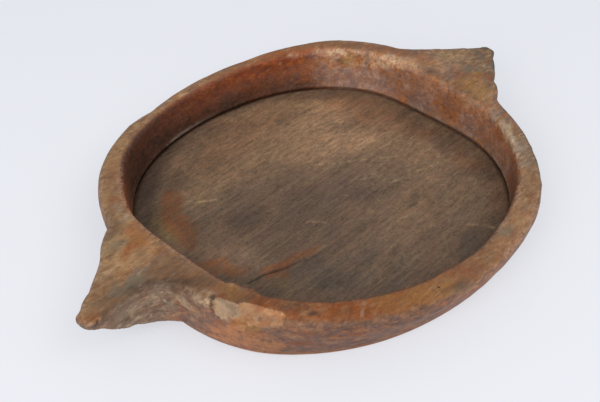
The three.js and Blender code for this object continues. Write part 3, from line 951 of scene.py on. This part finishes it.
def wall_wood():
    s = Sheet("carved_wall_wood")
    inside, outside, upward = s.mark("inside"), s.mark("outside"), s.mark("upward")
    cloud = s.noise((46, 34, 30), 4)
    other_cloud = s.noise((52, 36, 28), 4, shift=7.3)
    blotch = s.noise((17, 9, 9), 4, 0.6)
    other_blotch = s.noise((13, 8, 8), 4, 0.6, shift=3.1)
    patch = s.noise((8, 5, 5), 4, 0.6, shift=5.7)
    other_patch = s.noise((9, 4, 4), 4, 0.6, shift=11.3)
    broad = s.noise((26, 20, 9), 3, 0.5, shift=13.7)
    speck = s.noise((3.6, 2.6, 2.6), 3, 0.65)
    grain = s.noise((80, 4, 3.5), 5, 0.6, 0.5)
    fibre = s.noise((16, 1.1, 1.0), 3, 0.65)
    veins = s.noise((70, 7, 7), 3, 0.5, 0.6, shift=9.2)

    def shown(name):
        """Where a mark shows: its soft spot, broken up by lumps of several sizes."""
        ragged = 1.0 + (blotch - 0.5) * 2.6 + (patch - 0.5) * 2.2 + (speck - 0.5) * 1.2
        return (s.mark(name) * ragged).between(0.0, 1.05)

    top = s.mixed(tone("7b5f45"), tone("8c6c4d"), cloud.between(0.38, 0.62))
    top = s.mixed(top, tone("835632"), other_blotch.between(0.46, 0.6) * 0.7)
    top = s.mixed(top, tone("6f6053"), blotch.between(0.48, 0.62) * 0.7)
    top = s.mixed(top, tone("68472f"), other_patch.between(0.5, 0.62) * 0.55)
    top = s.mixed(top, tone("9b8263"), patch.between(0.52, 0.64) * 0.55)
    outer = s.mixed(tone("6d4731"), tone("875d41"), grain.between(0.38, 0.62))
    outer = s.mixed(outer, tone("8f5230"), other_cloud.between(0.46, 0.6) * 0.6)
    outer = s.mixed(outer, tone("6e5a52"), other_blotch.between(0.48, 0.62) * 0.6)
    outer = s.mixed(outer, tone("96795d"), blotch.between(0.52, 0.64) * grain.between(0.4, 0.6) * 0.7)
    outer = s.mixed(outer, tone("5d443b"), broad.between(0.52, 0.6) * 0.55)
    outer = s.mixed(outer, tone("a07a55"), (1.0 - broad).between(0.56, 0.64) * 0.5)
    outer = s.mixed(outer, tone("985e34"), patch.between(0.5, 0.62) * 0.5)
    outer = s.mixed(outer, tone("5a4338"), other_patch.between(0.52, 0.64) * 0.6)
    inner = s.mixed(tone("835a40"), tone("a27c60"), cloud.between(0.4, 0.58))
    inner = s.mixed(inner, tone("955a2c"), other_blotch.between(0.46, 0.58) * 0.8)
    inner = s.mixed(inner, tone("735a52"), blotch.between(0.48, 0.6) * 0.65)
    inner = s.mixed(inner, tone("5a3d2b"), veins.near(0.56, 0.03) * patch.between(0.4, 0.55) * 0.6)
    red = s.mixed(tone("7a3512"), tone("954b1f"), other_blotch.between(0.4, 0.64))
    red = s.mixed(red, tone("6b3a22"), blotch.between(0.5, 0.62) * 0.6)
    inner = s.mixed(inner, red, s.mark("red"))
    colour = s.mixed(outer, top, upward)
    colour = s.mixed(colour, inner, inside)

    colour = s.mixed(colour, tone("785f58"), s.mark("mauve") * cloud.between(0.36, 0.6) * 0.8)
    colour = s.mixed(colour, tone("a38158"), shown("tan") * 0.75)
    orange = s.mixed(tone("914a0e"), tone("6f3811"), patch.between(0.38, 0.62))
    colour = s.mixed(colour, orange, shown("orange") * 0.95)
    colour = s.mixed(colour, tone("a36a40"), shown("amber") * 0.8)
    colour = s.mixed(colour, tone("5f4531"), shown("brown") * 0.75)
    colour = s.mixed(colour, tone("8f6835"), shown("ochre") * 0.75)
    colour = s.mixed(colour, tone("665b4a"), shown("grey") * 0.7)
    colour = s.mixed(colour, tone("443329"), shown("dark") * 0.8)
    colour = s.mixed(colour, tone("37231a"), s.mark("shade") * (0.9 + (other_blotch - 0.5) * 0.9))
    # Painted shade along the crease between the near handle's top and its split face
    colour = s.mixed(colour, tone("453224"), s.mark("crease") * blotch.between(0.25, 0.55) * 0.75)
    # Painted shade on the handles' side faces and along the far handle's border
    colour = s.mixed(colour, tone("55493f"), s.mark("painted_shade_edge") * 0.7)
    rived = s.mixed(tone("8c745f"), tone("675343"), grain.between(0.42, 0.6))
    rived = s.mixed(rived, tone("7a5038"), other_blotch.between(0.52, 0.64) * 0.6)
    rived = s.mixed(rived, tone("a59682"), patch.between(0.54, 0.66) * 0.7)
    colour = s.mixed(colour, rived, s.mark("split") * 0.9)
    bare = s.mixed(tone("a3876a"), tone("8b7258"), blotch.between(0.46, 0.62))
    torn = s.mixed(tone("ab7d52"), tone("9a6034"), blotch.between(0.44, 0.6))
    bare = s.mixed(bare, torn, s.mark("fresh"))
    ragged_edge = 1.0 + (patch - 0.5) * 2.4 + (other_blotch - 0.5) * 2.0
    colour = s.mixed(colour, bare, (s.mark("broken") * ragged_edge).between(0.2, 0.9) * 0.9)
    colour = s.mixed(colour, tone("b39879"), shown("pale") * 0.75)
    colour = s.mixed(colour, tone("8e7d6c"), shown("scuffed") * 0.75)
    colour = s.mixed(colour, tone("85786d"), s.mark("lip") * 0.8)
    colour = s.mixed(colour, tone("a98c72"), s.mark("worn") * speck.between(0.4, 0.6) * 0.3)
    colour = s.mixed(colour, tone("a8937e"), s.mark("scratch") * patch.between(0.3, 0.55) * 0.4)
    colour = s.mixed(colour, tone("4e3b2d"), s.mark("line") * 0.45)

    colour = s.mixed(colour, tone("3d2c22"), veins.near(0.5, 0.012) * patch.between(0.42, 0.6) * 0.45)
    colour = s.mixed(colour, tone("41342b"), (speck + (blotch - 0.5) * 0.5).between(0.6, 0.72) * 0.5)
    streaks = (fibre + (other_blotch - 0.5) * 0.5).between(0.62, 0.74)
    colour = s.mixed(colour, tone("b79c80"), streaks * (0.3 - s.mark("red") * 0.22))
    # Painted shade in the holes, the crevice and the cracks
    colour = s.mixed(colour, tone("261b14"), s.mark("hole") * 0.92)
    shade = 1.0 + (speck - 0.5) * 0.8 + (fibre - 0.5) * 0.45 + (patch - 0.5) * 0.8 + (grain - 0.5) * 0.35
    worn_smooth = 1.0 - s.mark("broken") * 0.7
    contrast = 1.0 + inside * 0.45 + outside * 0.4 + s.mark("mottled") * 0.4
    shade = 1.0 + (shade - 1.0) * worn_smooth * contrast
    # Brightness, with painted light and shade from the mark of brighter and darker places
    colour = s.shaded(colour, shade * (PLAIN_SHADE + s.mark("painted_light_and_tone") * LIGHTER_SHADE))
    height = (fibre * 0.14 + speck * 0.26 + grain * 0.25 + patch * 0.35) * worn_smooth
    return s.wood(colour, 0.56 - inside * 0.1 + (speck - 0.5) * 0.25, height, 0.28)


def board_wood():
    s = Sheet("floor_board_wood")
    cloud = s.noise((80, 45, 60), 4)
    blotch = s.noise((30, 10, 14), 4, 0.6)
    other_blotch = s.noise((22, 12, 14), 4, 0.6, shift=4.4)
    patch = s.noise((9, 4, 6), 3, 0.6, shift=6.1)
    speck = s.noise((3.2, 2.2, 3), 3, 0.6)
    grain = s.noise((110, 5, 12), 5, 0.6, 0.4)
    fibre = s.noise((24, 1.3, 3), 4, 0.6)
    veins = s.noise((120, 9, 12), 3, 0.5, 0.5, shift=8.2)
    scored = s.noise((24, 0.7, 6), 2, 0.5, turn=7, shift=2.1).between(0.61, 0.7)
    crossed = s.noise((16, 0.7, 6), 2, 0.5, turn=-38, shift=5.4).between(0.62, 0.71)
    steep = s.noise((12, 0.7, 6), 2, 0.5, turn=68, shift=1.7).between(0.63, 0.72)

    def shown(name):
        """Where a mark shows: its soft spot, broken up by lumps and fibres."""
        ragged = 1.0 + (blotch - 0.5) * 2.2 + (patch - 0.5) * 2.0 + (fibre - 0.5) * 0.8
        return (s.mark(name) * ragged).between(0.0, 1.05)

    def softly(name):
        """The same with a softer edge."""
        ragged = 1.0 + (blotch - 0.5) * 1.4 + (patch - 0.5) * 1.0
        return (s.mark(name) * ragged).between(0.0, 1.05)

    colour = s.mixed(tone("5d4a39"), tone("6b5440"), cloud.between(0.38, 0.62))
    colour = s.mixed(colour, tone("785e44"), grain.between(0.44, 0.62) * 0.4)
    colour = s.mixed(colour, tone("6b4f40"), blotch.between(0.44, 0.6) * 0.5)
    colour = s.mixed(colour, tone("5e4b3e"), other_blotch.between(0.5, 0.64) * 0.5)
    # Light patches, at the board's back partly a painted sheen
    colour = s.mixed(colour, tone("8f6e50"), softly("light") * 0.75)
    colour = s.mixed(colour, tone("794f33"), softly("red") * 0.6)
    colour = s.mixed(colour, tone("483833"), softly("dark") * 0.6)
    colour = s.mixed(colour, tone("463f38"), softly("grey") * 0.7)
    colour = s.mixed(colour, tone("6f5c36"), shown("ochre") * 0.7)
    orange = s.mixed(tone("804825"), tone("66462a"), patch.between(0.4, 0.6))
    colour = s.mixed(colour, orange, shown("orange") * 0.85)
    # Dirt and painted shade at the board's edge beside the wall
    at_edge = (s.mark("edge_dirt_and_shade") + (blotch - 0.5) * 0.5).between(0.2, 1.1)
    colour = s.mixed(colour, tone("3a2b22"), at_edge * 0.8)
    scores = scored.most(crossed).most(steep)
    scores_seen = scores * (0.25 + s.mark("scored")) * cloud.between(0.4, 0.56)
    colour = s.mixed(colour, tone("b39a79"), scores_seen * 0.3)
    colour = s.mixed(colour, tone("b5966f"), s.mark("scratch") * patch.between(0.36, 0.6) * 0.35)
    colour = s.mixed(colour, tone("38291f"), veins.near(0.5, 0.012) * patch.between(0.4, 0.58) * 0.4)
    colour = s.mixed(colour, tone("3c2f26"), (speck + (blotch - 0.5) * 0.4).between(0.6, 0.72) * 0.45)
    colour = s.mixed(colour, tone("3f3128"), s.mark("dent") * 0.7)
    # Painted shade in the board's crack
    colour = s.mixed(colour, tone("2c1c13"), s.mark("crack") * 0.85)
    shade = 1.0 + (speck - 0.5) * 1.3 + (fibre - 0.5) * 0.4 + (patch - 0.5) * 1.2 + (grain - 0.5) * 0.6
    shade = shade + (other_blotch - 0.5) * 0.7
    # Brightness, with painted light and a painted sheen at the board's back from the mark of brighter
    # places
    colour = s.shaded(colour, shade * (PLAIN_SHADE + s.mark("painted_light_and_tone") * LIGHTER_SHADE))
    height = fibre * 0.14 + speck * 0.12 + grain * 0.25 - scores * 0.1
    return s.wood(colour, 0.56 + (blotch - 0.5) * 0.3, height, 0.3)


def pale_table():
    """The pale table, which shows a cast shadow less than a plain white board would."""
    s = Sheet("pale_table")
    white = tone("e9eaf0")
    diffuse = s.node("ShaderNodeBsdfDiffuse", {}, {"Color": white})
    glow = s.node("ShaderNodeEmission", {}, {"Color": tone("e9ebf1"), "Strength": 1.0})
    seen = s.node("ShaderNodeLightPath", output="Is Camera Ray")
    shader = s.node("ShaderNodeMixShader", {}, {0: seen * 0.6, 1: diffuse, 2: glow})
    s.node("ShaderNodeOutputMaterial", {}, {"Surface": shader})
    return s.material


wall.data.materials.append(wall_wood())
board.data.materials.append(board_wood())
for piece, node, slot in ((wall, "bowl_wall", "wall_wood"), (board, "floor_board", "board_wood")):
    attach(piece, "root")
    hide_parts(node)


# Table, light and camera

bpy.ops.mesh.primitive_plane_add(size=12.0, location=(0, 0, 0))
table = bpy.context.object
table.name = "table"
table.data.materials.append(pale_table())

# The camera's place, and its tilt, roll and heading in degrees, at the photograph's angle
EYE = Vector((-470.9, -429.6, 559.8)) * MM
TILT = 48.83
ROLL = 0.27
HEADING = -45.84

camera = bpy.data.objects.new("camera", bpy.data.cameras.new("camera"))
camera.data.sensor_width = 36.0
camera.data.lens = 51.0
camera.data.clip_start = 0.01
view_angles = Euler([math.radians(angle) for angle in (TILT, ROLL, HEADING)])
camera.matrix_world = Matrix.LocRotScale(EYE, view_angles, None)
bpy.context.scene.collection.objects.link(camera)
bpy.context.scene.camera = camera


def lamp(name, towards, distance, size, power, colour):
    data = bpy.data.lights.new(name, "AREA")
    data.shape = "DISK"
    data.size = size
    data.energy = power
    data.color = colour
    made = bpy.data.objects.new(name, data)
    direction = Vector(towards).normalized()
    made.location = direction * distance
    made.rotation_euler = direction.to_track_quat("Z", "Y").to_euler()
    bpy.context.scene.collection.objects.link(made)


lamp("window", (0.1, -0.85, 1.0), 2.2, 1.6, 14.0, (1.0, 0.99, 0.97))
lamp("room_side", (-0.85, -0.3, 0.55), 2.4, 1.6, 34.0, (1.0, 0.99, 0.98))

world = bpy.data.worlds.new("room")
bpy.context.scene.world = world
world.use_nodes = True
world.node_tree.nodes["Background"].inputs["Color"].default_value = (0.94, 0.97, 1.0, 1.0)
world.node_tree.nodes["Background"].inputs["Strength"].default_value = 0.6
bpy.context.scene.view_settings.view_transform = "Standard"
